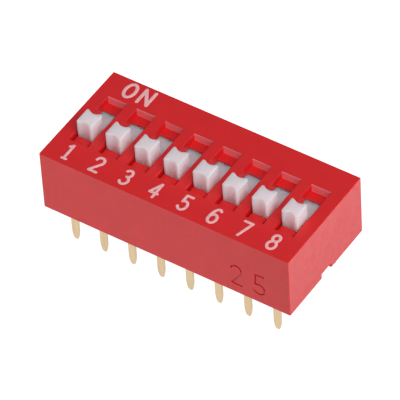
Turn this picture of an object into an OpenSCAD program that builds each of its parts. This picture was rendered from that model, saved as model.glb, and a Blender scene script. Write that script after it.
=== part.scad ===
// Slide DIP switch: a moulded cover over a comb-shaped base. Each position has
// one slider, one spring contact under it, and a front and a back terminal.
// Origin: middle of the cover's bottom rim. +X runs along the row of positions,
// +Y points to the ON end of every slot, +Z is up. Sliders are drawn at OFF.

/* [Layout] */
// Number of switch positions
positions = 8; // [2:1:12]
// Distance between neighbouring positions
pitch = 2.54; // [2.5:0.01:3.2]
// Distance between the two rows of pins
row_spacing = 7.62; // [7.4:0.01:10.2]

/* [Cover] */
// Gap between an end position's carrier and the end wall
end_play = 0.09; // [0.06:0.01:0.3]
// Gap between the pins and the long wall beside them
pin_wall_gap = 0.165; // [0.13:0.005:0.6]
// Height of the cover above its bottom rim
cover_h = 5.6; // [4.6:0.1:8]
// Thickness of the two long walls
long_wall = 0.85; // [0.5:0.05:1.2]
// Thickness of the two end walls
end_wall = 0.8; // [0.5:0.05:1.2]
// Depth of the pocket behind each knob
pocket_depth = 0.7; // [0.4:0.02:0.8]
// Depth of the step in front of each knob below the top face
step_depth = 0.28; // [0.15:0.01:0.6]
// Gap between the step and each side of the pocket
step_gap = 0.18; // [0.1:0.01:0.4]
// Thickness of the ledge at the back of a pocket
ledge_t = 0.2; // [0.15:0.01:0.4]
// Length of the ledge at each end of a pocket
ledge_run = 0.785; // [0.3:0.005:1]
// Width of the notch low in each end face
notch_w = 1.34; // [0.8:0.02:2]
// Height of the notch in each end face
notch_h = 0.5; // [0.3:0.05:1]
// Depth of the notch into each end face
notch_depth = 0.26; // [0.1:0.02:0.4]

/* [Slider] */
// Travel of a slider from OFF to ON
travel = 2.0; // [1.5:0.05:2.1]
// Width of a knob along the row
knob_w = 1.33; // [0.9:0.01:1.4]
// Length of a knob along its travel
knob_len = 1.45; // [1.1:0.05:1.75]
// Height of a knob above the cover's top face
knob_rise = 1.23; // [0.5:0.005:1.6]
// Gap between a knob and each side of its slot
knob_side_gap = 0.15; // [0.05:0.01:0.24]
// Gap left between a knob and the end of its slot
knob_end_gap = 0.05; // [0.03:0.01:0.2]
// Width of the finger groove in a knob's front and back faces
groove_w = 0.93; // [0.5:0.01:0.93]
// Depth of the finger groove
groove_depth = 0.2; // [0.1:0.01:0.3]
// Thickness of the flat carrier under a knob
carrier_t = 1.0; // [0.8:0.05:1.2]
// Gap left between a carrier and the cover's long wall at each end stop
stop_gap = 0.15; // [0.05:0.01:0.3]
// Running gap above and below a carrier
run_gap = 0.03; // [0.02:0.01:0.06]
// Running gap at each side of a carrier
side_play = 0.05; // [0.03:0.01:0.1]

/* [Base] */
// Thickness of the base's floor
floor_t = 2.0; // [1.6:0.1:2.2]
// Width of the rib between two carriers
rib_w = 0.42; // [0.3:0.01:0.42]
// Width of the channel under each carrier, where a contact slides
channel_w = 1.5; // [1.3:0.05:1.6]
// Gap between the base and each wall of the cover
base_gap = 0.05; // [0.03:0.01:0.1]
// Gap around what is pressed in or seated
fit_gap = 0.02; // [0.01:0.01:0.04]

/* [Catches] */
// Length of the snap catches under the base
catch_len = 1.2; // [0.8:0.05:1.3]
// How far a catch stands out of the long wall
catch_depth = 0.12; // [0.08:0.01:0.14]
// Height of a catch
catch_h = 0.2; // [0.1:0.01:0.3]
// Height of a catch's underside above the rim
catch_z = 0.1; // [0.05:0.01:0.3]

/* [Terminals] */
// Width of a pin below its shoulder
pin_w = 0.61; // [0.4:0.01:0.7]
// Thickness of the terminal strip
pin_t = 0.25; // [0.2:0.01:0.3]
// Length of a pin below the cover's rim
pin_drop = 3.46; // [2.5:0.01:4.2]
// Length of the tapered tip
tip_len = 1.05; // [0.6:0.05:1.2]
// Radius of the curve down each side of the tip
tip_curve_r = 3.6; // [2.6:0.1:6]
// Width of the shoulder, bend and pad
pad_w = 1.1; // [0.8:0.05:1.2]
// Height of the shoulder above the base's underside
shoulder_rise = 1.2; // [0.6:0.05:1.4]
// Inside radius of the terminal's bend
bend_r = 0.15; // [0.1:0.01:0.2]
// How far the front pad reaches past the contact's front foot at ON
pad_reach = 0.35; // [0.2:0.05:0.6]
// Gap between a front pad and the back pad beyond it
pad_gap = 0.5; // [0.4:0.05:0.9]

/* [Contacts] */
// Distance between the two feet of a contact
contact_span = 1.9; // [1.7:0.05:1.9]
// Width of the contact strip
contact_w = 0.9; // [0.6:0.05:1]
// Thickness of the contact strip
strip_t = 0.12; // [0.08:0.01:0.15]
// Length of the contact's flat top
contact_top = 1.0; // [0.6:0.05:1.2]
// Outward run of each turned-up foot tip
foot_run = 0.3; // [0.2:0.05:0.4]
// Rise of each turned-up foot tip
foot_rise = 0.25; // [0.1:0.05:0.4]
// Depth of the seat for the contact in the carrier's underside
seat_depth = 0.55; // [0.3:0.05:0.6]
// Play between a contact's outline and its seat
seat_play = 0.1; // [0.05:0.01:0.15]

/* [Mould mark] */
// Height of the two plain digits sunk in the front face
mark_h = 1.92; // [1:0.02:2.2]
// Width of each digit
mark_w = 0.87; // [0.6:0.01:1]
// Width of the digits' strokes
mark_stroke = 0.14; // [0.1:0.01:0.2]
// Depth of the digits
mark_depth = 0.1; // [0.05:0.01:0.15]
// Height of the digits' foot above the rim
mark_z = 0.92; // [0.5:0.02:2]
// Distance between the middles of the two digits
mark_step = 1.98; // [1.3:0.02:2.2]
// Distance from the second digit's middle to the end face
mark_margin = 2.58; // [1:0.02:3]

/* [Hidden] */
$fn = 96;
past = 0.5; // how far a cutter runs past the face it opens

cell_w = pitch - rib_w;
carrier_w = cell_w - 2 * side_play;
inner_l = (positions - 1) * pitch + carrier_w + 2 * end_play;
inner_w = row_spacing + pin_t + 2 * pin_wall_gap;
cover_l = inner_l + 2 * end_wall;
cover_w = inner_w + 2 * long_wall;
plate_z = cover_h - pocket_depth - ledge_t;
ledge_z = cover_h - pocket_depth;
step_z = cover_h - step_depth;

slot_w = knob_w + 2 * knob_side_gap;
opening_len = knob_len + travel + 2 * knob_end_gap;
pocket_len = opening_len + 2 * ledge_run;

base_l = inner_l - 2 * base_gap;
base_w = inner_w - 2 * base_gap;
base_z = catch_z + catch_h + fit_gap;
floor_z = base_z + floor_t;
rib_z = plate_z - fit_gap;

carrier_len = inner_w - travel - 2 * stop_gap;
carrier_top_z = plate_z - run_gap;
carrier_z = carrier_top_z - carrier_t;
shelf_z = carrier_z - run_gap;
knob_top_z = cover_h + knob_rise;
off_y = -travel / 2;

pad_z = floor_z + fit_gap;
pad_top_z = pad_z + pin_t;
shoulder_z = base_z + shoulder_rise;
pin_face_y = row_spacing / 2 + pin_t / 2;
front_pad_end = (travel - contact_span) / 2 + pad_reach;
back_pad_end = front_pad_end + pad_gap;

contact_top_z = carrier_z + seat_depth - fit_gap - strip_t / 2;
foot_z = pad_top_z + fit_gap + strip_t / 2;

function names(stem) = [for (i = [1:positions]) str(stem, "_", i)];
function slot_x(i) = (i - (positions + 1) / 2) * pitch;

// A box given by its middle in X and Y, and its bottom and top
module block(size_x, size_y, z0, z1, at = [0, 0]) {
    translate([at[0] - size_x / 2, at[1] - size_y / 2, z0])
        cube([size_x, size_y, z1 - z0]);
}

// A 2D stroke with round ends between two points
module line_stroke(from, to, w) {
    run = to - from;
    translate(from) rotate(atan2(run[1], run[0])) translate([0, -w / 2]) square([norm(run), w]);
    translate(from) circle(d = w);
    translate(to) circle(d = w);
}

// A 2D stroke with round ends along an arc, from angle a0 up to angle a1
module arc_stroke(middle, r, a0, a1, w) {
    steps = ceil((a1 - a0) / 30);
    wedge = [for (k = [0:steps]) 2 * r * [cos(a0 + k * (a1 - a0) / steps), sin(a0 + k * (a1 - a0) / steps)]];
    translate(middle) {
        intersection() {
            difference() {
                circle(r = r + w / 2);
                circle(r = r - w / 2);
            }
            polygon(concat([[0, 0]], wedge));
        }
        for (a = [a0, a1]) translate(r * [cos(a), sin(a)]) circle(d = w);
    }
}

// Digit two: an open hook over a slanting stroke and a foot bar
module digit_two() {
    r = mark_w / 2;
    hook_end = -35;
    middle = [0, mark_h - r];
    arc_stroke(middle, r, hook_end, 170, mark_stroke);
    line_stroke(middle + r * [cos(hook_end), sin(hook_end)], [-r, 0], mark_stroke);
    line_stroke([-r, 0], [r, 0], mark_stroke);
}

// Digit five: a top bar, a short upright and an open bowl
module digit_five() {
    r = mark_h * 0.26;
    bowl_start = 125;
    middle = [mark_w / 2 - r, r];
    upright_top = [-mark_w * 0.34, mark_h];
    arc_stroke(middle, r, -145, bowl_start, mark_stroke);
    line_stroke(middle + r * [cos(bowl_start), sin(bowl_start)], upright_top, mark_stroke);
    line_stroke(upright_top, [mark_w * 0.44, mark_h], mark_stroke);
}

// Stands a 2D outline up so that it cuts mark_depth into the front face
module sunk_in_front(x) {
    translate([x, -cover_w / 2 + mark_depth, mark_z])
        rotate([90, 0, 0]) linear_extrude(mark_depth + past) children();
}

// One slot: a pocket in the top face with the knob's opening through its floor,
// and a raised step left standing in front of the knob
module slot_cut(i) {
    at = [slot_x(i), 0];
    difference() {
        block(slot_w, pocket_len, ledge_z, cover_h + past, at);
        block(slot_w - 2 * step_gap, pocket_len / 2, ledge_z - past, step_z, at - [0, pocket_len / 4]);
    }
    block(slot_w, opening_len, plate_z - past, cover_h + past, at);
}

module cover() {
    catch_x = (positions / 2 - 1) * pitch;
    catch_reach = catch_depth + long_wall / 2;
    color("#c9262b") {
        difference() {
            block(cover_l, cover_w, 0, cover_h);
            block(inner_l, inner_w, -past, plate_z);
            for (i = [1:positions]) slot_cut(i);
            for (side = [-1, 1])
                block(2 * notch_depth, notch_w, -past, notch_h, [side * cover_l / 2, 0]);
            sunk_in_front(cover_l / 2 - mark_margin - mark_step) digit_two();
            sunk_in_front(cover_l / 2 - mark_margin) digit_five();
        }
        for (x = [-catch_x, catch_x], side = [-1, 1])
            block(catch_len, catch_reach, catch_z, catch_z + catch_h,
                [x, side * (inner_w / 2 - catch_depth + catch_reach / 2)]);
    }
}

// The room that one terminal needs in the base, open to the side face
module terminal_groove(i, side) {
    depth = base_w / 2 - row_spacing / 2 + pin_t / 2 + fit_gap;
    groove_y = side * (base_w / 2 - depth / 2 + past / 2);
    bend_depth = depth + bend_r;
    bend_y = side * (base_w / 2 - bend_depth / 2 + past / 2);
    block(pin_w + 2 * fit_gap, depth + past, base_z - past, floor_z, [slot_x(i), groove_y]);
    block(pad_w + 2 * fit_gap, depth + past, shoulder_z - fit_gap, floor_z, [slot_x(i), groove_y]);
    block(pad_w + 2 * fit_gap, bend_depth + past, pad_z - bend_r, floor_z + past, [slot_x(i), bend_y]);
}

module base() {
    color("#232326")
    difference() {
        block(base_l, base_w, base_z, rib_z);
        for (i = [1:positions]) {
            block(cell_w, base_w + 2 * past, shelf_z, rib_z + past, [slot_x(i), 0]);
            block(channel_w, base_w + 2 * past, floor_z, rib_z + past, [slot_x(i), 0]);
            for (side = [-1, 1]) terminal_groove(i, side);
        }
        // The end cells are open to the cover's end walls
        for (end_x = [-1, 1] * (slot_x(positions) + past))
            block(cell_w + 2 * past, base_w + 2 * past, shelf_z, rib_z + past, [end_x, 0]);
    }
}

module slider(i) {
    x = slot_x(i);
    groove_r = (pow(groove_w / 2, 2) + pow(groove_depth, 2)) / (2 * groove_depth);
    groove_y = knob_len / 2 - groove_depth + groove_r;
    seat_len = contact_span + 2 * foot_run + strip_t + 2 * seat_play;
    color("#e4e3e6")
    difference() {
        union() {
            block(carrier_w, carrier_len, carrier_z, carrier_top_z, [x, off_y]);
            difference() {
                block(knob_w, knob_len, carrier_top_z - carrier_t / 2, knob_top_z, [x, off_y]);
                for (side = [-1, 1])
                    translate([x, off_y + side * groove_y, carrier_top_z])
                        cylinder(r = groove_r, h = knob_top_z);
            }
        }
        block(contact_w + 2 * seat_play, seat_len, carrier_z - past, carrier_z + seat_depth, [x, off_y]);
    }
}

// A bent strip that stands on two feet, drawn from the side and given its width
module contact(i) {
    half_top = contact_top / 2;
    half_span = contact_span / 2;
    tip = [half_span + foot_run, foot_z + foot_rise];
    foot = [half_span, foot_z];
    shoulder = [half_top, contact_top_z];
    flip = [[-1, 0], [0, 1]];
    color("#cfa95a")
    translate([slot_x(i) - contact_w / 2, off_y, 0])
        rotate([90, 0, 90]) linear_extrude(contact_w) {
            line_stroke(shoulder * flip, shoulder, strip_t);
            line_stroke(shoulder, foot, strip_t);
            line_stroke(foot, tip, strip_t);
            line_stroke(shoulder * flip, foot * flip, strip_t);
            line_stroke(foot * flip, tip * flip, strip_t);
        }
}

// Outline of a pin seen from the front, from its shoulder to its curved tip
module pin_outline() {
    tip_start_z = -pin_drop + tip_len;
    translate([-pin_w / 2, tip_start_z]) square([pin_w, shoulder_z - tip_start_z]);
    intersection() {
        translate([pin_w / 2 - tip_curve_r, tip_start_z]) circle(r = tip_curve_r);
        translate([tip_curve_r - pin_w / 2, tip_start_z]) circle(r = tip_curve_r);
        translate([-pin_w / 2, -pin_drop]) square([pin_w, tip_len]);
    }
}

// Side view of the wide part: up from the shoulder, round the bend, along the pad
module pad_profile(reach) {
    inner_y = pin_face_y - pin_t;
    bend_z = pad_z - bend_r;
    translate([inner_y, shoulder_z]) square([pin_t, bend_z - shoulder_z]);
    translate([inner_y - bend_r, bend_z]) intersection() {
        difference() {
            circle(r = bend_r + pin_t);
            circle(r = bend_r);
        }
        square(bend_r + pin_t);
    }
    translate([reach, pad_z]) square([inner_y - bend_r - reach, pin_t]);
}

// A terminal on the +Y side whose pad ends at the given Y
module terminal(reach) {
    translate([-pad_w / 2, 0, 0]) rotate([90, 0, 90]) linear_extrude(pad_w) pad_profile(reach);
    translate([0, pin_face_y, 0]) rotate([90, 0, 0]) linear_extrude(pin_t) pin_outline();
}

module terminal_back(i) {
    color("#d8c49c") translate([slot_x(i), 0, 0]) terminal(back_pad_end);
}

module terminal_front(i) {
    color("#d8c49c") translate([slot_x(i), 0, 0]) mirror([0, 1, 0]) terminal(-front_pad_end);
}

cover();
base();
for (i = [1:positions]) {
    slider(i);
    contact(i);
    terminal_front(i);
    terminal_back(i);
}
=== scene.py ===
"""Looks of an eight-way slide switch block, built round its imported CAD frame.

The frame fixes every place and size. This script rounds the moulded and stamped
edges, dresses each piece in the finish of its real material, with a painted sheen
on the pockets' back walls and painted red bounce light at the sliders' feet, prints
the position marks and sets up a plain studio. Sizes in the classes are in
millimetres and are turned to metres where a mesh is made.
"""

from __future__ import annotations

import logging
import math
from dataclasses import dataclass
from enum import Enum
from typing import Callable, Sequence

import bmesh
import bpy
import numpy as np
from mathutils import Euler, Matrix, Vector


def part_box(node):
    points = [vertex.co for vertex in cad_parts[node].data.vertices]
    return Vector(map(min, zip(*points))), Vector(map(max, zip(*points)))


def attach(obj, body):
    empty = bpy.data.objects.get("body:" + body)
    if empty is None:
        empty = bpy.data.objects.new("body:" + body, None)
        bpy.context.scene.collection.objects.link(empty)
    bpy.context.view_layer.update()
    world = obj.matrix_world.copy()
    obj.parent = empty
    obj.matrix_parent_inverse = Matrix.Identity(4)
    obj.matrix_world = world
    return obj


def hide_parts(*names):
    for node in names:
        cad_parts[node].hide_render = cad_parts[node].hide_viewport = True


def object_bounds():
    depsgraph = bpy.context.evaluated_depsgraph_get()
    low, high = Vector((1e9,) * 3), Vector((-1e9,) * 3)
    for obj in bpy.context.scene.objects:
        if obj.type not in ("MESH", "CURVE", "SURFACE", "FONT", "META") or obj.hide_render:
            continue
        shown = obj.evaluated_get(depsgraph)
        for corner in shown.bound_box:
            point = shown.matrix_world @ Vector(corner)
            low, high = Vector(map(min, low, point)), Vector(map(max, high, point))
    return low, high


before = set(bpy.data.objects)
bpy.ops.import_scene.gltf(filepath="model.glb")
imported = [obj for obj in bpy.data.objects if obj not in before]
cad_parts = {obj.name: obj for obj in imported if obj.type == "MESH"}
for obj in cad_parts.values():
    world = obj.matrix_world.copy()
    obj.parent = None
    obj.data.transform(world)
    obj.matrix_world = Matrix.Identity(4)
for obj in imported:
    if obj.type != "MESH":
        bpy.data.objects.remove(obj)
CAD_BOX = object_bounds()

MM = 0.001
NEAR_MM = 1e-3  # Two measures closer than this are the same.
MERGE_M = 1e-7  # Vertices closer than this are one.
FLAT_DEGREES = 0.2  # Faces that meet at less than this are one flat face.
SHARP_DEGREES = 30  # Faces that meet at more than this have an edge between them.
FACING = 0.9  # A normal with more than this along an axis faces that way.
TINY = 1e-9  # Rounding errors stay under this.
BEVEL_SEGMENTS = 3
NOISE_LOW, NOISE_HIGH = 0.3, 0.7  # Nearly all of a noise texture lies between these.
HOUSING = "housing"
POSITIONS = sum(name.startswith("slider_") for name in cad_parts)

log = logging.getLogger("switch_block")


class Row(Enum):
    """The two rows of terminals, with the side of the block each one stands on."""

    FRONT = -1
    BACK = 1


# ---------------------------------------------------------------- measuring


def corners(node: str) -> tuple[np.ndarray, np.ndarray]:
    """Gives a CAD node's lowest and highest corners.

    Args:
        node: The node's name in the frame.

    Returns:
        The two corners in millimetres.
    """
    low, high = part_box(node)
    return np.array(low) / MM, np.array(high) / MM


def node_points(node: str) -> np.ndarray:
    """Gives a CAD node's vertices.

    Args:
        node: The node's name in the frame.

    Returns:
        An array of points in millimetres, one row each.
    """
    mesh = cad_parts[node].data
    flat = np.empty(len(mesh.vertices) * 3)
    mesh.vertices.foreach_get("co", flat)
    return flat.reshape(-1, 3) / MM


def half_size(points: np.ndarray, z: float) -> np.ndarray:
    """Measures the points that lie at one height.

    Args:
        points: The vertices, one row each, in millimetres.
        z: The height.

    Returns:
        Half their extent in X and in Y.
    """
    level = points[np.abs(points[:, 2] - z) < NEAR_MM]
    return (level.max(0) - level.min(0))[:2] / 2


# ------------------------------------------------------------------ meshing


def outward(points: np.ndarray, quads: np.ndarray) -> bool:
    """Says whether a closed skin of quads faces outwards.

    The sum of the signed volumes of the tetrahedra between the origin and each
    half quad is positive when the faces point out.

    Args:
        points: The vertices, one row each.
        quads: Four vertex numbers a row.

    Returns:
        True if the skin faces outwards.
    """
    a, b, c, d = (points[quads[:, k]] for k in range(4))
    return bool((a * np.cross(b, c) + a * np.cross(c, d)).sum() > 0)


def carried_skin(name: str, rings: np.ndarray) -> bpy.types.Object:
    """Makes a closed piece from rings of points carried along a path.

    Point j of ring i joins point j of ring i + 1, each ring closes on itself, and
    the first and last rings are capped by one flat face each.

    Args:
        name: The new piece's name.
        rings: An array of ring, point and coordinate, in millimetres.

    Returns:
        The new object, in metres, smooth shaded with area-weighted normals.
    """
    count, around = rings.shape[:2]
    points = rings.reshape(-1, 3)
    i, j = np.meshgrid(np.arange(count - 1), np.arange(around), indexing="ij")
    k = (j + 1) % around
    here, ahead = i * around, (i + 1) * around
    quads = np.stack([here + j, here + k, ahead + k, ahead + j], -1).reshape(-1, 4)
    first, last = np.arange(around)[::-1], (count - 1) * around + np.arange(around)
    if not outward(points - points.mean(0), quads):
        quads, first, last = quads[:, ::-1], first[::-1], last[::-1]
    mesh = bpy.data.meshes.new(name)
    faces = quads.tolist() + [first.tolist(), last.tolist()]
    mesh.from_pydata((points * MM).tolist(), [], faces)
    return finished(bpy.data.objects.new(name, mesh))


def finished(piece: bpy.types.Object) -> bpy.types.Object:
    """Links a new piece, shades it smooth and weights its normals by face area.

    Args:
        piece: A mesh object that isn't in the scene yet.

    Returns:
        The same object.
    """
    piece.data.shade_smooth()
    bpy.context.scene.collection.objects.link(piece)
    weighted = piece.modifiers.new("flat faces stay flat", "WEIGHTED_NORMAL")
    weighted.weight = 100
    weighted.keep_sharp = True
    return piece


def quarter_round(steps: int) -> tuple[np.ndarray, np.ndarray]:
    """Gives the two offsets along a quarter circle of radius one.

    Args:
        steps: How many points, both ends included.

    Returns:
        The offset across, from 0 to 1, and the offset along, from 0 to 1.
    """
    angle = np.linspace(0, math.pi / 2, steps)
    return 1 - np.cos(angle), np.sin(angle)


def rounded_copy(
    node: str, name: str, width: float, share: Callable[[np.ndarray, np.ndarray], float]
) -> bpy.types.Object:
    """Copies a CAD node and rounds its edges with a weighted bevel.

    Loose triangles are merged and flat neighbours dissolved first, so that the
    bevel runs along whole edges.

    Args:
        node: The CAD node to copy.
        name: The new piece's name.
        width: The widest rounding, in millimetres.
        share: Gives an edge's share of that width from its two ends, in millimetres.

    Returns:
        The new object.
    """
    shape = bmesh.new()
    shape.from_mesh(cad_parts[node].data)
    bmesh.ops.remove_doubles(shape, verts=shape.verts, dist=MERGE_M)
    flat = math.radians(FLAT_DEGREES)
    bmesh.ops.dissolve_limit(shape, angle_limit=flat, verts=shape.verts, edges=shape.edges)
    weight = shape.edges.layers.float.new("bevel_weight_edge")
    for edge in shape.edges:
        if len(edge.link_faces) == 2 and edge.calc_face_angle() > math.radians(SHARP_DEGREES):
            ends = [np.array(v.co) / MM for v in edge.verts]
            edge[weight] = share(*ends)
            edge.smooth = edge[weight] > 0
    mesh = bpy.data.meshes.new(name)
    shape.to_mesh(mesh)
    shape.free()
    piece = bpy.data.objects.new(name, mesh)
    rounding = piece.modifiers.new("rounded edges", "BEVEL")
    rounding.limit_method = "WEIGHT"
    rounding.width = width * MM
    rounding.segments = BEVEL_SEGMENTS
    rounding.use_clamp_overlap = False
    return finished(piece)


# ---------------------------------------------------------------- materials


def linear(code: str) -> tuple[float, float, float, float]:
    """Turns an sRGB hex code to the linear colour that Blender's sockets take.

    Args:
        code: Six hex digits after a hash sign.

    Returns:
        Linear red, green and blue, with an alpha of 1.
    """
    srgb = [int(code[k : k + 2], 16) / 255 for k in (1, 3, 5)]
    flat = [c / 12.92 if c <= 0.04045 else ((c + 0.055) / 1.055) ** 2.4 for c in srgb]
    return (flat[0], flat[1], flat[2], 1.0)


def per_metre(size_mm: float) -> float:
    """Turns a pattern's real size in millimetres to a texture scale on metres."""
    return 1 / (size_mm * MM)


def add_node(
    tree: bpy.types.NodeTree, kind: str, settings: dict | None = None, **inputs: object
) -> bpy.types.Node:
    """Adds one node with its settings, values and links.

    Args:
        tree: The node tree that it joins.
        kind: The node's type name.
        settings: Attribute names and values set on the node itself.
        inputs: Socket names, with underscores for spaces, each with a value or
            with the output socket that feeds it. A name such as input_1 is the
            socket of that number.

    Returns:
        The new node.
    """
    node = tree.nodes.new(kind)
    for key, value in (settings or {}).items():
        setattr(node, key, value)
    for key, value in inputs.items():
        number = key.removeprefix("input_")
        socket = node.inputs[int(number) if number.isdigit() else key.replace("_", " ")]
        if isinstance(value, bpy.types.NodeSocket):
            tree.links.new(value, socket)
        else:
            socket.default_value = value
    return node


def blank_material(
    name: str,
) -> tuple[bpy.types.Material, bpy.types.NodeTree, bpy.types.NodeSocket]:
    """Starts a material that reads Object coordinates.

    Args:
        name: The finish's name.

    Returns:
        The material, its emptied node tree and the coordinate socket.
    """
    material = bpy.data.materials.new(name)
    material.use_nodes = True
    tree = material.node_tree
    tree.nodes.clear()
    place = add_node(tree, "ShaderNodeTexCoord")
    return material, tree, place.outputs["Object"]


def noise(
    tree: bpy.types.NodeTree, place: bpy.types.NodeSocket, size_mm: float, detail: float
) -> bpy.types.NodeSocket:
    """Adds a noise texture.

    Args:
        tree: The material's node tree.
        place: The coordinates that the noise reads.
        size_mm: The size of its blotches.
        detail: How many finer layers it carries.

    Returns:
        The socket that gives its value.
    """
    texture = add_node(tree, "ShaderNodeTexNoise", Vector=place, Scale=per_metre(size_mm),
                       Detail=detail)
    return texture.outputs["Fac"]


def mottled(
    tree: bpy.types.NodeTree, place: bpy.types.NodeSocket, size_mm: float,
    low: float, high: float, detail: float = 2.0,
) -> bpy.types.NodeSocket:
    """Adds a soft noise whose value runs between two numbers.

    Args:
        tree: The material's node tree.
        place: The coordinates that the noise reads.
        size_mm: The size of its blotches.
        low: The value in its hollows.
        high: The value on its peaks.
        detail: How many finer layers it carries.

    Returns:
        The socket that gives the value.
    """
    span = add_node(tree, "ShaderNodeMapRange", Value=noise(tree, place, size_mm, detail),
                    From_Min=NOISE_LOW, From_Max=NOISE_HIGH, To_Min=low, To_Max=high)
    return span.outputs["Result"]


def blended(
    tree: bpy.types.NodeTree, share: bpy.types.NodeSocket, first: object, second: object
) -> bpy.types.NodeSocket:
    """Blends two colours.

    Args:
        tree: The material's node tree.
        share: The socket that gives the second colour's share.
        first: The colour where the share is 0, as a value or a socket.
        second: The colour where the share is 1, as a value or a socket.

    Returns:
        The socket that gives the colour.
    """
    mix = add_node(tree, "ShaderNodeMix", {"data_type": "RGBA"}, Factor=share,
                   input_6=first, input_7=second)
    return mix.outputs[2]


def bumped(
    tree: bpy.types.NodeTree, height: bpy.types.NodeSocket, height_mm: float, **below: object
) -> bpy.types.NodeSocket:
    """Raises a skin by a height pattern.

    Args:
        tree: The material's node tree.
        height: The socket that gives the pattern, from 0 to 1.
        height_mm: The pattern's full height.
        below: Normal, if the skin lies on another bumped skin.

    Returns:
        The socket that gives the normal.
    """
    bump = add_node(tree, "ShaderNodeBump", Height=height, Strength=1.0,
                    Distance=height_mm * MM, **below)
    return bump.outputs["Normal"]


@dataclass(frozen=True)
class MouldedPlastic:
    """An injection-moulded thermoplastic with a spark-eroded skin.

    The mould's eroded steel leaves a fine even grain that breaks up reflections
    into a soft haze. Slow cooling leaves very shallow sinks that bend them.
    """

    name: str
    colour: str
    shade: str
    roughness: float
    grain_mm: float
    grain_height_mm: float
    rough_spread: float = 0.04
    sink_mm: float = 3.0
    sink_height_mm: float = 0.004
    ior: float = 1.5
    scatter: float = 0.0
    scatter_mm: float = 0.3
    scatter_reach: tuple[float, float, float] = (1.0, 0.8, 0.75)
    specular: float = 0.5
    # Painted red bounce light: a tint for a band of height, with the band's start, full and stop
    # heights.
    painted_bounce_colour: str | None = None
    painted_bounce_mm: tuple[float, float, float] = (0.0, 0.0, 0.0)

    def with_painted_bounce(
        self, tree: bpy.types.NodeTree, place: bpy.types.NodeSocket, colour: bpy.types.NodeSocket
    ) -> bpy.types.NodeSocket:
        """Paints a pink band of height: painted red bounce light from the cover, standing in for
        light that soaks into the slider.

        Args:
            tree: The material's node tree.
            place: The coordinates that give the height.
            colour: The colour outside the band.

        Returns:
            The socket that gives the tinted colour.
        """
        start, full, stop = (z * MM for z in self.painted_bounce_mm)
        height = add_node(tree, "ShaderNodeSeparateXYZ", Vector=place).outputs["Z"]
        smooth = {"interpolation_type": "SMOOTHSTEP"}
        rise, fall = (
            add_node(tree, "ShaderNodeMapRange", smooth, Value=height, From_Min=far, From_Max=full)
            for far in (start, stop)
        )
        share = add_node(tree, "ShaderNodeMath", {"operation": "MINIMUM"},
                         input_0=rise.outputs["Result"], input_1=fall.outputs["Result"])
        return blended(tree, share.outputs[0], colour, linear(self.painted_bounce_colour))

    def build(self) -> bpy.types.Material:
        """Makes the material.

        Returns:
            The new material.
        """
        material, tree, place = blank_material(self.name)
        tint = mottled(tree, place, self.sink_mm / 2, 0.0, 1.0, detail=3.0)
        colour = blended(tree, tint, linear(self.colour), linear(self.shade))
        # Painted red bounce light towards the slider's foot.
        if self.painted_bounce_colour:
            colour = self.with_painted_bounce(tree, place, colour)
        rough = mottled(tree, place, self.grain_mm * 4, self.roughness - self.rough_spread,
                        self.roughness + self.rough_spread)
        sunk = bumped(tree, noise(tree, place, self.sink_mm, detail=1.0), self.sink_height_mm)
        skin = bumped(tree, noise(tree, place, self.grain_mm, detail=2.0),
                      self.grain_height_mm, Normal=sunk)
        shader = add_node(
            tree, "ShaderNodeBsdfPrincipled", Base_Color=colour, Roughness=rough, IOR=self.ior,
            Subsurface_Weight=self.scatter, Subsurface_Radius=self.scatter_reach,
            Subsurface_Scale=self.scatter_mm * MM, Specular_IOR_Level=self.specular, Normal=skin,
        )
        add_node(tree, "ShaderNodeOutputMaterial", Surface=shader.outputs["BSDF"])
        return material


@dataclass(frozen=True)
class PlatedStrip:
    """Rolled brass strip, stamped and then thinly gold plated.

    Rolling leaves fine streaks along the strip that the plating follows, so its
    highlights are drawn out and its tone changes slightly from streak to streak.
    """

    name: str
    colour: str
    shade: str
    roughness: float
    rough_spread: float = 0.06
    streak_mm: float = 0.06
    streak_height_mm: float = 0.0008
    stretch: float = 14.0

    def build(self) -> bpy.types.Material:
        """Makes the material.

        Returns:
            The new material.
        """
        material, tree, place = blank_material(self.name)
        along = add_node(tree, "ShaderNodeMapping", Vector=place, Scale=(1.0, 1.0, 1 / self.stretch))
        along = along.outputs["Vector"]
        tint = mottled(tree, along, self.streak_mm * 5, 0.0, 1.0)
        colour = blended(tree, tint, linear(self.colour), linear(self.shade))
        rough = mottled(tree, place, self.streak_mm * 6, self.roughness - self.rough_spread,
                        self.roughness + self.rough_spread)
        lines = bumped(tree, noise(tree, along, self.streak_mm, detail=3.0),
                       self.streak_height_mm)
        shader = add_node(tree, "ShaderNodeBsdfPrincipled", Base_Color=colour, Metallic=1.0,
                          Roughness=rough, Normal=lines)
        add_node(tree, "ShaderNodeOutputMaterial", Surface=shader.outputs["BSDF"])
        return material


@dataclass(frozen=True)
class PrintedInk:
    """White pad-printing ink, matt, with the slight orange peel of a thin film."""

    name: str
    colour: str
    shade: str
    roughness: float = 0.6
    peel_mm: float = 0.09
    peel_height_mm: float = 0.002

    def build(self) -> bpy.types.Material:
        """Makes the material.

        Returns:
            The new material.
        """
        material, tree, place = blank_material(self.name)
        cover = mottled(tree, place, self.peel_mm * 2, 0.0, 1.0)
        colour = blended(tree, cover, linear(self.colour), linear(self.shade))
        film = bumped(tree, noise(tree, place, self.peel_mm, detail=2.0), self.peel_height_mm)
        shader = add_node(tree, "ShaderNodeBsdfPrincipled", Base_Color=colour,
                          Roughness=self.roughness, Normal=film)
        add_node(tree, "ShaderNodeOutputMaterial", Surface=shader.outputs["BSDF"])
        return material


# Glass-filled polyester (PBT), pigmented red: dense colour and a satin skin.
RED_POLYESTER = MouldedPlastic(
    name="red moulded polyester", colour="#de1b1f", shade="#d8191d", roughness=0.42,
    grain_mm=0.11, grain_height_mm=0.0035,
)
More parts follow.
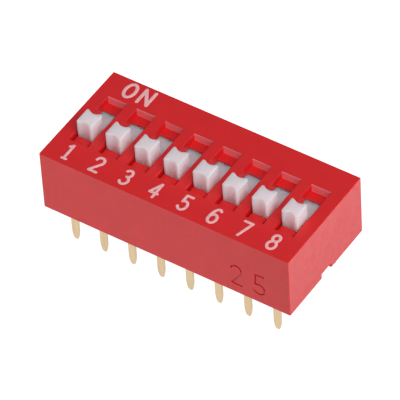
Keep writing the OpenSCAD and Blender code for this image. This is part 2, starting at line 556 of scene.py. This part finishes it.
# The same plastic, paler, for the pockets' back walls: painted sheen that stands in for the haze of
# reflected light on them.
PAINTED_SHEEN_POLYESTER = MouldedPlastic(
    name="red polyester, painted sheen", colour="#ff868a", shade="#fb8085", roughness=0.5,
    grain_mm=0.11, grain_height_mm=0.0035,
)
# The same polyester in carbon black: the base is never seen in the light.
BLACK_POLYESTER = MouldedPlastic(
    name="black moulded polyester", colour="#27272a", shade="#1f1f22", roughness=0.5,
    grain_mm=0.13, grain_height_mm=0.004,
)
# Acetal (POM), undyed: light goes a little way in, which softens every edge.
WHITE_ACETAL = MouldedPlastic(
    name="natural white acetal", colour="#e6dce0", shade="#e2d7dc", roughness=0.65,
    grain_mm=0.1, grain_height_mm=0.002, ior=1.48, scatter=1.0, scatter_mm=2.4,
    scatter_reach=(1.0, 0.6, 0.55), specular=0.25,
    # The pink towards the foot is painted red bounce light from the cover.
    painted_bounce_colour="#ffc3c4", painted_bounce_mm=(4.7, 5.1, 6.4),
)
# Flash gold over nickel on brass: pale, warm and satin.
PALE_GOLD = PlatedStrip(
    name="pale gold plated brass", colour="#dbc4a0", shade="#d1b890", roughness=0.36,
)
# Thicker gold where the spring rubs: deeper in colour and brighter.
CONTACT_GOLD = PlatedStrip(
    name="contact gold", colour="#e3bd6a", shade="#d9b05c", roughness=0.24,
)
# Two-part epoxy ink: a thin white film that the red below shows through.
WHITE_INK = PrintedInk(name="white printed ink", colour="#f6c3c4", shade="#f0acae")


# ------------------------------------------------------------------- pieces


@dataclass
class CoverShell:
    """The red cover: a box open below, with a pocket and an opening a position."""

    edge_mm: float = 0.08
    outer_share: float = 1.0
    mouth_share: float = 0.75
    inner_share: float = 0.3
    mark_depth_mm: float = 0.1
    inner_top_mm: float = 1.2
    finish: MouldedPlastic = RED_POLYESTER
    # The pockets' back walls take this paler red: painted sheen, not a real change of surface.
    painted_sheen_finish: MouldedPlastic = PAINTED_SHEEN_POLYESTER

    def rounding(self, a: np.ndarray, b: np.ndarray) -> float:
        """Gives the share of the full rounding that an edge takes.

        Args:
            a: One end of the edge, in millimetres.
            b: The other end.

        Returns:
            1 on the outside of the box, less on a pocket's mouth and inside it,
            and 0 where the mould left the edge crisp.
        """
        low, high = corners("cover")
        on_low = (np.abs(a - low) < NEAR_MM) & (np.abs(b - low) < NEAR_MM)
        on_high = (np.abs(a - high) < NEAR_MM) & (np.abs(b - high) < NEAR_MM)
        if on_low.sum() + on_high.sum() >= 2:
            return self.outer_share
        if on_high[2]:
            return self.mouth_share
        if max(a[1], b[1]) < low[1] + self.mark_depth_mm + NEAR_MM:
            return 0.0
        return self.inner_share if min(a[2], b[2]) > high[2] - self.inner_top_mm else 0.0

    def painted_sheen_walls(self, mesh: bpy.types.Mesh) -> list[int]:
        """Finds the back wall of each pocket, which gets the painted sheen.

        Args:
            mesh: The cover's mesh, in metres.

        Returns:
            The numbers of the faces that look forward, high in the back half,
            and don't lie on the front edge of a ledge.
        """
        lowest = (corners("cover")[1][2] - self.inner_top_mm) * MM
        walls = [
            face for face in mesh.polygons
            if face.normal.y < -FACING and face.center.y > 0 and face.center.z > lowest
        ]
        back = max(face.center.y for face in walls)
        return [face.index for face in walls if face.center.y > back - self.edge_mm * MM]

    def build(self) -> bpy.types.Object:
        """Makes the cover with rounded edges, its finish and the painted sheen on the pockets' back
        walls.

        Returns:
            The finished piece.
        """
        piece = rounded_copy("cover", "cover_shell", self.edge_mm, self.rounding)
        for finish in (self.finish, self.painted_sheen_finish):
            piece.data.materials.append(finish.build())
        # Painted sheen: the pockets' back walls take the paler red.
        for index in self.painted_sheen_walls(piece.data):
            piece.data.polygons[index].material_index = 1
        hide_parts("cover")
        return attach(piece, HOUSING)


@dataclass
class CombBase:
    """The black base: a floor with a rib between positions and grooved sides."""

    edge_mm: float = 0.04
    finish: MouldedPlastic = BLACK_POLYESTER

    def rounding(self, a: np.ndarray, b: np.ndarray) -> float:
        """Gives 1 for an edge on the underside or on a rib's top, and 0 elsewhere.

        Args:
            a: One end of the edge, in millimetres.
            b: The other end.

        Returns:
            The share of the full rounding.
        """
        low, high = corners("base")
        flat = abs(a[2] - b[2]) < NEAR_MM
        return float(flat and min(abs(a[2] - low[2]), abs(a[2] - high[2])) < NEAR_MM)

    def build(self) -> bpy.types.Object:
        """Makes the base with rounded edges and its finish.

        Returns:
            The finished piece.
        """
        piece = rounded_copy("base", "comb_base", self.edge_mm, self.rounding)
        piece.data.materials.append(self.finish.build())
        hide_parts("base")
        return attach(piece, HOUSING)


@dataclass
class SlideKnob:
    """One white slider: a grooved knob on a flat carrier with a seat below."""

    position: int
    groove_mm: float = 0.93
    groove_depth_mm: float = 0.2
    lip_mm: float = 0.04
    past_lip: float = 1.04
    plain_share: float = 0.85
    knob_corner_mm: float = 0.07
    least_corner_mm: float = 0.01
    knob_edge_mm: float = 0.04
    carrier_corner_mm: float = 0.12
    carrier_edge_mm: float = 0.05
    root_mm: float = 0.06
    seat_corner_mm: float = 0.1
    seat_edge_mm: float = 0.03
    side_points: int = 9
    groove_points: int = 13
    corner_points: int = 5
    arc_points: int = 5

    @property
    def node(self) -> str:
        """The CAD node that this piece stands for."""
        return f"slider_{self.position}"

    def outline(
        self, half: np.ndarray, corner: float, inset: float = 0.0, grooved: bool = False
    ) -> np.ndarray:
        """Gives a rectangle with round corners, and with a groove front and back.

        The right side, a corner, the back and another corner are worked out, and
        turned half a turn for the rest. A groove is the part of the back that an
        arc of the groove's radius, centred outside the knob, takes away. The two
        meet in a smooth minimum, which rounds the groove's lips. Most points lie
        between the lips. One is a little past each lip, and one is halfway from
        there to the corner.

        Args:
            half: Half the rectangle's length in X and in Y.
            corner: The corners' radius.
            inset: How far the whole outline is drawn in.
            grooved: Whether the front and back are grooved.

        Returns:
            The outline's points about its own middle.
        """
        radius = max(corner - inset, self.least_corner_mm)
        hx, hy = half - inset
        across = np.sin(np.linspace(math.pi / 2, -math.pi / 2, self.groove_points))
        lip = self.groove_mm / 2 / (half[0] - corner) if grooved else self.plain_share
        outside = np.linspace(1, lip * self.past_lip, 3)[1:]
        x = np.concatenate([outside, across * lip, -outside[::-1]]) * (hx - radius)
        y = np.full_like(x, hy)
        if grooved:
            depth, mouth = self.groove_depth_mm, self.groove_mm / 2
            arc_radius = (mouth**2 + depth**2) / (2 * depth)
            middle = half[1] - depth + arc_radius
            arc = middle - np.sqrt(np.maximum((arc_radius + inset) ** 2 - x**2, 0))
            overlap = np.maximum(self.lip_mm - np.abs(arc - hy), 0) / self.lip_mm
            y = np.minimum(arc, hy) - overlap**2 * self.lip_mm / 4
        back = np.stack([x, y], -1)
        side_y = np.linspace(-(hy - radius), hy - radius, self.side_points)[1:-1]
        side = np.stack([np.full_like(side_y, hx), side_y], -1)
        turn = np.linspace(0, math.pi / 2, self.corner_points)
        bend = radius * np.stack([np.cos(turn), np.sin(turn)], -1)
        first = bend + [hx - radius, hy - radius]
        second = np.stack([-bend[::-1, 0], bend[::-1, 1]], -1) + [radius - hx, hy - radius]
        half_turn = np.concatenate([side, first, back, second])
        return np.concatenate([half_turn, -half_turn])

    def rings(self) -> np.ndarray:
        """Carries outlines from the seat's roof, round the carrier, up the knob.

        Returns:
            The rings of points, in millimetres.
        """
        low, high = corners(self.node)
        points = node_points(self.node)
        levels = np.unique(points[:, 2].round(3))
        seat_z, carrier_z = levels[1], levels[2]
        seat = (half_size(points, seat_z), self.seat_corner_mm)
        carrier = ((high - low)[:2] / 2, self.carrier_corner_mm)
        knob = (half_size(points, high[2]), self.knob_corner_mm)
        inward, along = quarter_round(self.arc_points)
        lip, edge, root, crown = (
            self.seat_edge_mm, self.carrier_edge_mm, self.root_mm, self.knob_edge_mm,
        )
        rows = [(self.outline(*seat, lip), seat_z), (self.outline(*seat), seat_z - lip)]
        for a, b in zip(inward, along):
            rows.append((self.outline(*seat, -lip * a), low[2] + lip * (1 - b)))
        for a, b in zip(inward[::-1], along[::-1]):
            rows.append((self.outline(*carrier, edge * a), low[2] + edge * (1 - b)))
        for a, b in zip(inward, along):
            rows.append((self.outline(*carrier, edge * a), carrier_z - edge * (1 - b)))
        for a, b in zip(inward[::-1], along[::-1]):
            rows.append((self.outline(*knob, -root * a, True), carrier_z + root * (1 - b)))
        for a, b in zip(inward, along):
            rows.append((self.outline(*knob, crown * a, True), high[2] - crown * (1 - b)))
        outlines = np.array([outline for outline, _ in rows]) + (low + high)[:2] / 2
        heights = np.array([z for _, z in rows])
        flat = np.broadcast_to(heights[:, None, None], (*outlines.shape[:2], 1))
        return np.concatenate([outlines, flat], -1)

    def build(self, material: bpy.types.Material) -> bpy.types.Object:
        """Makes the slider.

        Args:
            material: The finish, shared by all sliders.

        Returns:
            The finished piece.
        """
        piece = carried_skin(f"slide_knob_{self.position}", self.rings())
        piece.data.materials.append(material)
        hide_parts(self.node)
        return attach(piece, f"switch_{self.position}")


@dataclass
class StripTerminal:
    """One stamped terminal: a tapered pin, a shoulder, a bend and a flat pad."""

    position: int
    row: Row
    strip_mm: float = 0.25
    pin_mm: float = 0.61
    pad_mm: float = 1.1
    shoulder_z: float = 1.52
    bend_mm: float = 0.15
    tip_mm: float = 1.05
    tip_curve_mm: float = 3.6
    edge_mm: float = 0.045
    corner_share: float = 0.4
    coined_mm: float = 0.06
    coined_share: float = 0.8
    tip_thinning: float = 0.5
    corner_points: int = 4
    bend_points: int = 9
    tip_points: int = 14

    @property
    def node(self) -> str:
        """The CAD node that this piece stands for."""
        return f"terminal_{self.row.name.lower()}_{self.position}"

    def section(self, width: np.ndarray, thickness: np.ndarray) -> np.ndarray:
        """Gives a rectangle with round corners for each width and thickness.

        A quarter circle is placed in each corner in turn. Its radius never passes
        a set share of the thinner side, so that the corners don't meet.

        Args:
            width: One width a ring.
            thickness: One thickness a ring.

        Returns:
            An array of ring, point, and the offset across and through the strip.
        """
        largest = self.corner_share * np.minimum(width, thickness)
        radius = np.minimum(self.edge_mm, largest)[:, None]
        turn = np.linspace(0, math.pi / 2, self.corner_points)
        quarters = []
        for k, (sx, sy) in enumerate([(1, 1), (-1, 1), (-1, -1), (1, -1)]):
            angle = turn + k * math.pi / 2
            x = sx * (width[:, None] / 2 - radius) + radius * np.cos(angle)
            y = sy * (thickness[:, None] / 2 - radius) + radius * np.sin(angle)
            quarters.append(np.stack([x, y], -1))
        return np.concatenate(quarters, 1)

    def rings(self) -> np.ndarray:
        """Carries the strip's section from the pad's end, round the bend, to the tip.

        The middle line runs along the pad, turns down through a quarter circle
        and drops straight to the tip. The width steps down at the shoulder, and
        near the tip it follows two large arcs that lean inwards. The strip thins
        towards the tip, and its very end is rounded off.

        Returns:
            The rings of points, in millimetres.
        """
        low, high = corners(self.node)
        side = self.row.value
        face_y = high[1] if side > 0 else -low[1]
        end_y = low[1] if side > 0 else -high[1]
        x = (low[0] + high[0]) / 2
        half, soft = self.strip_mm / 2, self.edge_mm
        pad_z = high[2] - half
        drop_y = face_y - half
        turn_r = self.bend_mm + half
        angle = np.linspace(math.pi / 2, 0, self.bend_points)
        inward, along = quarter_round(self.corner_points)
        end = [(end_y + soft * a, pad_z) for a in (1 - along[::-1])]
        end_trim = soft * inward[::-1]
        pivot = np.array([drop_y - turn_r, pad_z - turn_r])
        bend = pivot + turn_r * np.stack([np.cos(angle), np.sin(angle)], -1)
        step = self.shoulder_z
        neck = [(drop_y, step + soft), (drop_y, step), (drop_y, step - soft)]
        tip_start = low[2] + self.tip_mm
        tip_z = np.linspace(tip_start, low[2], self.tip_points)
        tip = np.stack([np.full_like(tip_z, drop_y), tip_z], -1)
        path = np.concatenate([end, bend, neck, tip])
        lean = tip_start - tip_z
        curve = self.tip_curve_mm
        tip_width = self.pin_mm - 2 * (curve - np.sqrt(curve**2 - lean**2))
        past = np.clip(lean - (self.tip_mm - self.coined_mm), 0, self.coined_mm)
        nose = self.coined_mm - np.sqrt(np.maximum(self.coined_mm**2 - past**2, 0))
        nose *= self.coined_share
        width = np.concatenate([
            self.pad_mm - 2 * end_trim, np.full(len(bend), self.pad_mm),
            [self.pad_mm, self.pad_mm - 2 * soft, self.pin_mm], tip_width - nose,
        ])
        thin = self.strip_mm * (1 - self.tip_thinning * np.clip(lean / self.tip_mm, 0, 1) ** 3)
        thickness = np.concatenate([
            self.strip_mm - 2 * end_trim, np.full(len(bend) + len(neck), self.strip_mm),
            thin - nose,
        ])
        away = np.gradient(path, axis=0)
        away /= np.linalg.norm(away, axis=1, keepdims=True)
        away[len(end) + len(bend):] = [0, -1]
        away[: len(end)] = [1, 0]
        through = np.stack([-away[:, 1], away[:, 0]], -1)
        cut = self.section(width, thickness)
        y = side * (path[:, None, 0] + cut[..., 1] * through[:, None, 0])
        z = path[:, None, 1] + cut[..., 1] * through[:, None, 1]
        return np.stack([x + cut[..., 0], y, z], -1)

    def build(self, material: bpy.types.Material) -> bpy.types.Object:
        """Makes the terminal.

        Args:
            material: The finish, shared by all terminals.

        Returns:
            The finished piece.
        """
        piece = carried_skin(f"strip_{self.row.name.lower()}_{self.position}", self.rings())
        piece.data.materials.append(material)
        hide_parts(self.node)
        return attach(piece, HOUSING)


@dataclass
class SpringContact:
    """One spring contact, whose CAD shape is right and only needs its finish."""

    position: int

    def dress(self, material: bpy.types.Material) -> bpy.types.Object:
        """Gives the CAD node its material.

        Args:
            material: The finish, shared by all contacts.

        Returns:
            The CAD node's object.
        """
        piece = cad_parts[f"contact_{self.position}"]
        piece.data.materials.clear()
        piece.data.materials.append(material)
        return piece


# -------------------------------------------------------------------- print


Point = tuple[float, float]
Path = np.ndarray


def arc(
    middle: Point, rx: float, ry: float, start: float, stop: float, count: int = 28
) -> Path:
    """Gives points along part of an ellipse.

    Args:
        middle: The ellipse's middle.
        rx: Half its width.
        ry: Half its height.
        start: The first angle, in degrees.
        stop: The last angle, in degrees.
        count: How many points.

    Returns:
        The points, one row each.
    """
    angle = np.radians(np.linspace(start, stop, count))
    return np.stack([middle[0] + rx * np.cos(angle), middle[1] + ry * np.sin(angle)], -1)


def bar(start: Point | np.ndarray, stop: Point) -> Path:
    """Gives a straight stroke as its two ends and its middle."""
    return np.linspace(start, stop, 3)


@dataclass
class PrintedMark:
    """One printed character: strokes of thick ink with round ends."""

    name: str
    middle_x: float
    middle_y: float
    width_mm: float
    height_mm: float
    strokes: Callable[[float, float], list[Path]]
    stroke_mm: float
    film_mm: float = 0.02
    sunk_mm: float = 0.01
    point_share: float = 1e-5
    around: int = 16
    end_rings: int = 6

    def ribbon(self, path: Path, top_z: float) -> np.ndarray:
        """Carries a low dome of ink along a stroke and closes it with round ends.

        Across the stroke the film's height falls from its middle as the square
        root of one minus the fourth power of the distance. Past each end of the
        path the ring's width shrinks as a half circle does, almost to a point.

        Args:
            path: The stroke's middle line.
            top_z: Height of the surface that is printed on.

        Returns:
            The rings of points, in millimetres.
        """
        ahead = np.gradient(path, axis=0)
        ahead /= np.linalg.norm(ahead, axis=1, keepdims=True)
        half = self.stroke_mm / 2
        turn = np.linspace(0, math.pi / 2, self.end_rings)[1:]
        reach = np.sin(turn)
        before = path[0] - half * reach[::-1, None] * ahead[0]
        after = path[-1] + half * reach[:, None] * ahead[-1]
        line = np.concatenate([before, path, after])
        heading = np.pad(ahead, ((len(turn), len(turn)), (0, 0)), mode="edge")
        past = np.concatenate([reach[::-1], np.zeros(len(path)), reach])
        wide = np.sqrt(np.maximum(1 - past**2, self.point_share))
        angle = np.linspace(0, 2 * math.pi, self.around, endpoint=False)
        across = np.cos(angle)[None, :] * wide[:, None]
        distance = np.clip(across**2 + past[:, None] ** 2, 0, 1)
        dome = np.sqrt(1 - distance**2)
        height = np.where(np.sin(angle)[None, :] >= -TINY, self.film_mm * dome, -self.sunk_mm)
        side = np.stack([-heading[:, 1], heading[:, 0]], -1)
        flat = line[:, None, :] + half * across[..., None] * side[:, None, :]
        return np.concatenate([flat, (top_z + height)[..., None]], -1)

    def build(self, top_z: float, material: bpy.types.Material) -> bpy.types.Object:
        """Makes the mark on the cover's top face.

        Args:
            top_z: Height of the face, in millimetres.
            material: The ink.

        Returns:
            The finished piece, its strokes joined in one mesh.
        """
        w, h = self.width_mm - self.stroke_mm, self.height_mm - self.stroke_mm
        corner = np.array([self.middle_x, self.middle_y - h / 2])
        parts = [
            carried_skin(f"{self.name}_stroke", self.ribbon(path + corner, top_z))
            for path in self.strokes(w, h)
        ]
        if len(parts) > 1:
            with bpy.context.temp_override(active_object=parts[0], selected_editable_objects=parts):
                bpy.ops.object.join()
        piece = parts[0]
        piece.name = piece.data.name = self.name
        piece.data.materials.append(material)
        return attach(piece, HOUSING)


def letter_o(w: float, h: float) -> list[Path]:
    """Gives the strokes of a tall round O."""
    return [arc((0, h / 2), w / 2, h / 2, 90, 450, 64)]


def letter_n(w: float, h: float) -> list[Path]:
    """Gives the strokes of an N."""
    left, right = -w / 2, w / 2
    return [bar((left, 0), (left, h)), bar((left, h), (right, 0)), bar((right, 0), (right, h))]


def digit_1(w: float, h: float) -> list[Path]:
    """Gives the strokes of a 1 with a flag and a foot."""
    return [
        bar((-w * 0.33, h * 0.86), (0, h)),
        bar((0, h), (0, 0)),
        bar((-w * 0.2, 0), (w * 0.33, 0)),
    ]


def digit_2(w: float, h: float) -> list[Path]:
    """Gives the strokes of a 2."""
    r = w / 2
    hook = arc((0, h - r * 1.08), r, r * 1.08, 170, -35)
    return [hook, bar(hook[-1], (-r, 0)), bar((-r, 0), (r, 0))]


def digit_3(w: float, h: float) -> list[Path]:
    """Gives the strokes of a 3: two bowls that meet at a short waist."""
    waist = h * 0.54
    upper = (h - waist) / 2
    return [
        arc((-w * 0.02, h - upper), w * 0.42, upper, 150, -90),
        arc((-w * 0.02, waist / 2), w / 2, waist / 2, 90, -150),
    ]


def digit_4(w: float, h: float) -> list[Path]:
    """Gives the strokes of a closed 4."""
    stem, arm = w * 0.24, h * 0.3
    return [
        bar((stem, h), (-w / 2, arm)),
        bar((-w / 2, arm), (w / 2, arm)),
        bar((stem, h), (stem, 0)),
    ]


def digit_5(w: float, h: float) -> list[Path]:
    """Gives the strokes of a 5."""
    bowl = arc((-w * 0.04, h * 0.31), w * 0.52, h * 0.31, 128, -150)
    return [bowl, bar(bowl[0], (-w * 0.33, h)), bar((-w * 0.33, h), (w * 0.42, h))]


def digit_6(w: float, h: float) -> list[Path]:
    """Gives the strokes of a 6: a closed bowl under a long curved stem."""
    return [
        arc((0, h * 0.3), w / 2, h * 0.3, 180, 540, 48),
        arc((w * 0.1, h * 0.3), w * 0.6, h * 0.7, 180, 62),
    ]


def digit_7(w: float, h: float) -> list[Path]:
    """Gives the strokes of a 7."""
    return [bar((-w / 2, h), (w / 2, h)), bar((w / 2, h), (-w * 0.14, 0))]


def digit_8(w: float, h: float) -> list[Path]:
    """Gives the strokes of an 8: a small loop over a larger one."""
    waist = h * 0.55
    upper = (h - waist) / 2
    return [
        arc((0, waist + upper), w * 0.42, upper, -90, 270, 44),
        arc((0, waist / 2), w / 2, waist / 2, 90, 450, 48),
    ]


DIGITS = (digit_1, digit_2, digit_3, digit_4, digit_5, digit_6, digit_7, digit_8)


@dataclass
class PositionPrint:
    """The print on the top face: a number a position, and ON at the first two."""

    digit_mm: tuple[float, float] = (0.88, 1.66)
    digit_stroke: float = 0.23
    digit_y: float = -3.7
    digit_shift: float = -0.09
    letter_mm: tuple[float, float] = (1.1, 1.68)
    letter_stroke: float = 0.275
    letter_y: float = 3.86
    letter_shift: float = 0.3
    letter_step: float = 1.43

    def marks(self) -> list[PrintedMark]:
        """Lists every printed character.

        Returns:
            The marks, numbers first.
        """
        middles = [sum(corners(f"slider_{i + 1}"))[0] / 2 for i in range(POSITIONS)]
        numbers = [
            PrintedMark(f"number_{i + 1}", x + self.digit_shift, self.digit_y, *self.digit_mm,
                        strokes, self.digit_stroke)
            for i, (x, strokes) in enumerate(zip(middles, DIGITS))
        ]
        start = middles[0] + self.letter_shift
        letters = [
            PrintedMark(f"letter_{name}", start + k * self.letter_step, self.letter_y,
                        *self.letter_mm, strokes, self.letter_stroke)
            for k, (name, strokes) in enumerate([("o", letter_o), ("n", letter_n)])
        ]
        return numbers + letters


# ------------------------------------------------------------------- studio


@dataclass
class ProductCamera:
    """A long lens that looks down on the block from its right front corner."""

    azimuth: float = 35.853
    elevation: float = 46.111
    roll: float = 3.81
    distance_mm: float = 349.09
    lens_mm: float = 426.58
    aim_mm: tuple[float, float, float] = (-0.66, 0.737, 0.947)

    def build(self) -> bpy.types.Object:
        """Makes the camera and gives it to the scene.

        Returns:
            The camera.
        """
        data = bpy.data.cameras.new("camera")
        data.lens = self.lens_mm
        data.sensor_width = 36.0
        data.clip_start = 0.01
        data.clip_end = 10.0
        camera = bpy.data.objects.new("camera", data)
        tilt = Euler((math.radians(90 - self.elevation), 0, math.radians(self.azimuth)))
        turn = tilt.to_matrix() @ Matrix.Rotation(math.radians(-self.roll), 3, "Z")
        place = Vector(self.aim_mm) + turn @ Vector((0, 0, self.distance_mm))
        camera.matrix_world = Matrix.Translation(place * MM) @ turn.to_4x4()
        bpy.context.scene.collection.objects.link(camera)
        bpy.context.scene.camera = camera
        return camera


@dataclass(frozen=True)
class Softbox:
    """A square soft light that faces the block."""

    name: str
    direction: tuple[float, float, float]
    distance_mm: float
    size_mm: float
    watts: float

    def build(self) -> bpy.types.Object:
        """Makes the light.

        Returns:
            The light.
        """
        data = bpy.data.lights.new(self.name, "AREA")
        data.shape = "SQUARE"
        data.size = self.size_mm * MM
        data.energy = self.watts
        light = bpy.data.objects.new(self.name, data)
        toward = Vector(self.direction).normalized()
        facing = toward.to_track_quat("Z", "Y").to_matrix().to_4x4()
        light.matrix_world = Matrix.Translation(toward * self.distance_mm * MM) @ facing
        bpy.context.scene.collection.objects.link(light)
        return light


@dataclass
class Studio:
    """A glowing white floor, soft lights overhead and on the right, a grey room."""

    floor_mm: float = 700.0
    floor_points: int = 64
    floor_glow: float = 0.9
    floor_glow_right: float = 0.75
    floor_ramp_mm: tuple[float, float] = (10.5, 15.0)
    floor_bounce: float = 0.66
    floor_seen: float = 1.15
    card_mm: tuple[float, float, float] = (12.5, 90.0, 60.0)
    card_lift_mm: float = 0.05
    card_colour: str = "#404040"
    floor_colour: str = "#8c8c8c"
    room: str = "#8f9094"
    room_strength: float = 1.0
    lamps: Sequence[Softbox] = (
        Softbox("overhead softbox", (0.5, -0.24, 0.83), 400.0, 420.0, 1.15),
        Softbox("right softbox", (0.93, -0.15, 0.35), 400.0, 300.0, 0.46),
    )

    def flat(self, name: str, outline: np.ndarray, lift_mm: float = 0.0) -> bpy.types.Object:
        """Lays one flat face level with the pins' tips and keeps it out of the part.

        Args:
            name: The new object's name.
            outline: The face's corners in X and Y, in millimetres.
            lift_mm: How far the face lies above the pins' tips.

        Returns:
            The new object.
        """
        level = np.full((len(outline), 1), CAD_BOX[0].z + lift_mm * MM)
        mesh = bpy.data.meshes.new(name)
        face = list(range(len(outline)))
        mesh.from_pydata(np.hstack([outline * MM, level]).tolist(), [], [face])
        piece = bpy.data.objects.new(name, mesh)
        bpy.context.scene.collection.objects.link(piece)
        return piece

    def flag(self) -> None:
        """Lays a grey card on the floor at the right, to take light off the end face."""
        near, far, side = self.card_mm
        outline = np.array([(near, -side), (far, -side), (far, side), (near, side)])
        card = self.flat("flag card", outline, self.card_lift_mm)
        card.visible_camera = card.visible_glossy = card.visible_shadow = False
        material, tree, _ = blank_material("grey card")
        shader = add_node(tree, "ShaderNodeBsdfDiffuse", Color=linear(self.card_colour))
        add_node(tree, "ShaderNodeOutputMaterial", Surface=shader.outputs["BSDF"])
        card.data.materials.append(material)

    def floor(self) -> None:
        """Makes the floor: a disc that glows as brightly lit paper does.

        It glows more to the right, where the end face mirrors it. It throws a
        little less on the block than its glow, and shows the camera a little more.
        """
        angle = np.linspace(0, 2 * math.pi, self.floor_points, endpoint=False)
        piece = self.flat("floor", np.stack([np.cos(angle), np.sin(angle)], -1) * self.floor_mm)
        material, tree, place = blank_material("white paper sweep")
        axes = add_node(tree, "ShaderNodeSeparateXYZ", Vector=place)
        start, stop = (x * MM for x in self.floor_ramp_mm)
        glow = add_node(
            tree, "ShaderNodeMapRange", Value=axes.outputs["X"], From_Min=start, From_Max=stop,
            To_Min=self.floor_glow, To_Max=self.floor_glow + self.floor_glow_right,
        ).outputs["Result"]
        ray = add_node(tree, "ShaderNodeLightPath")
        for kind, gain in (("Diffuse", self.floor_bounce), ("Camera", self.floor_seen)):
            share = add_node(tree, "ShaderNodeMapRange", Value=ray.outputs[f"Is {kind} Ray"],
                             To_Min=1.0, To_Max=gain)
            glow = add_node(tree, "ShaderNodeMath", {"operation": "MULTIPLY"},
                            input_0=glow, input_1=share.outputs["Result"]).outputs[0]
        shader = add_node(
            tree, "ShaderNodeBsdfPrincipled", Base_Color=linear(self.floor_colour),
            Roughness=1.0, Specular_IOR_Level=0.0, Emission_Color=(1.0, 1.0, 1.0, 1.0),
            Emission_Strength=glow,
        )
        add_node(tree, "ShaderNodeOutputMaterial", Surface=shader.outputs["BSDF"])
        piece.data.materials.append(material)

    def build(self) -> None:
        """Makes the floor, the card, the lights and the room's even grey."""
        self.floor()
        self.flag()
        for lamp in self.lamps:
            lamp.build()
        world = bpy.data.worlds.new("room")
        world.use_nodes = True
        backdrop = world.node_tree.nodes["Background"]
        backdrop.inputs["Color"].default_value = linear(self.room)
        backdrop.inputs["Strength"].default_value = self.room_strength
        bpy.context.scene.world = world
        bpy.context.scene.view_settings.view_transform = "Standard"


def main() -> None:
    """Builds the studio and every piece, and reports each."""
    logging.basicConfig(level=logging.INFO, format="%(name)s: %(message)s")
    ProductCamera().build()
    Studio().build()
    finishes = (WHITE_ACETAL, PALE_GOLD, CONTACT_GOLD, WHITE_INK)
    white, pale, gold, ink = (finish.build() for finish in finishes)
    pieces = [CoverShell().build(), CombBase().build()]
    for position in range(1, POSITIONS + 1):
        pieces.append(SlideKnob(position).build(white))
        pieces.append(SpringContact(position).dress(gold))
        pieces.extend(StripTerminal(position, row).build(pale) for row in Row)
    top_z = corners("cover")[1][2]
    pieces.extend(mark.build(top_z, ink) for mark in PositionPrint().marks())
    for piece in pieces:
        log.info("%s: %d faces", piece.name, len(piece.data.polygons))


if __name__ == "__main__":
    main()
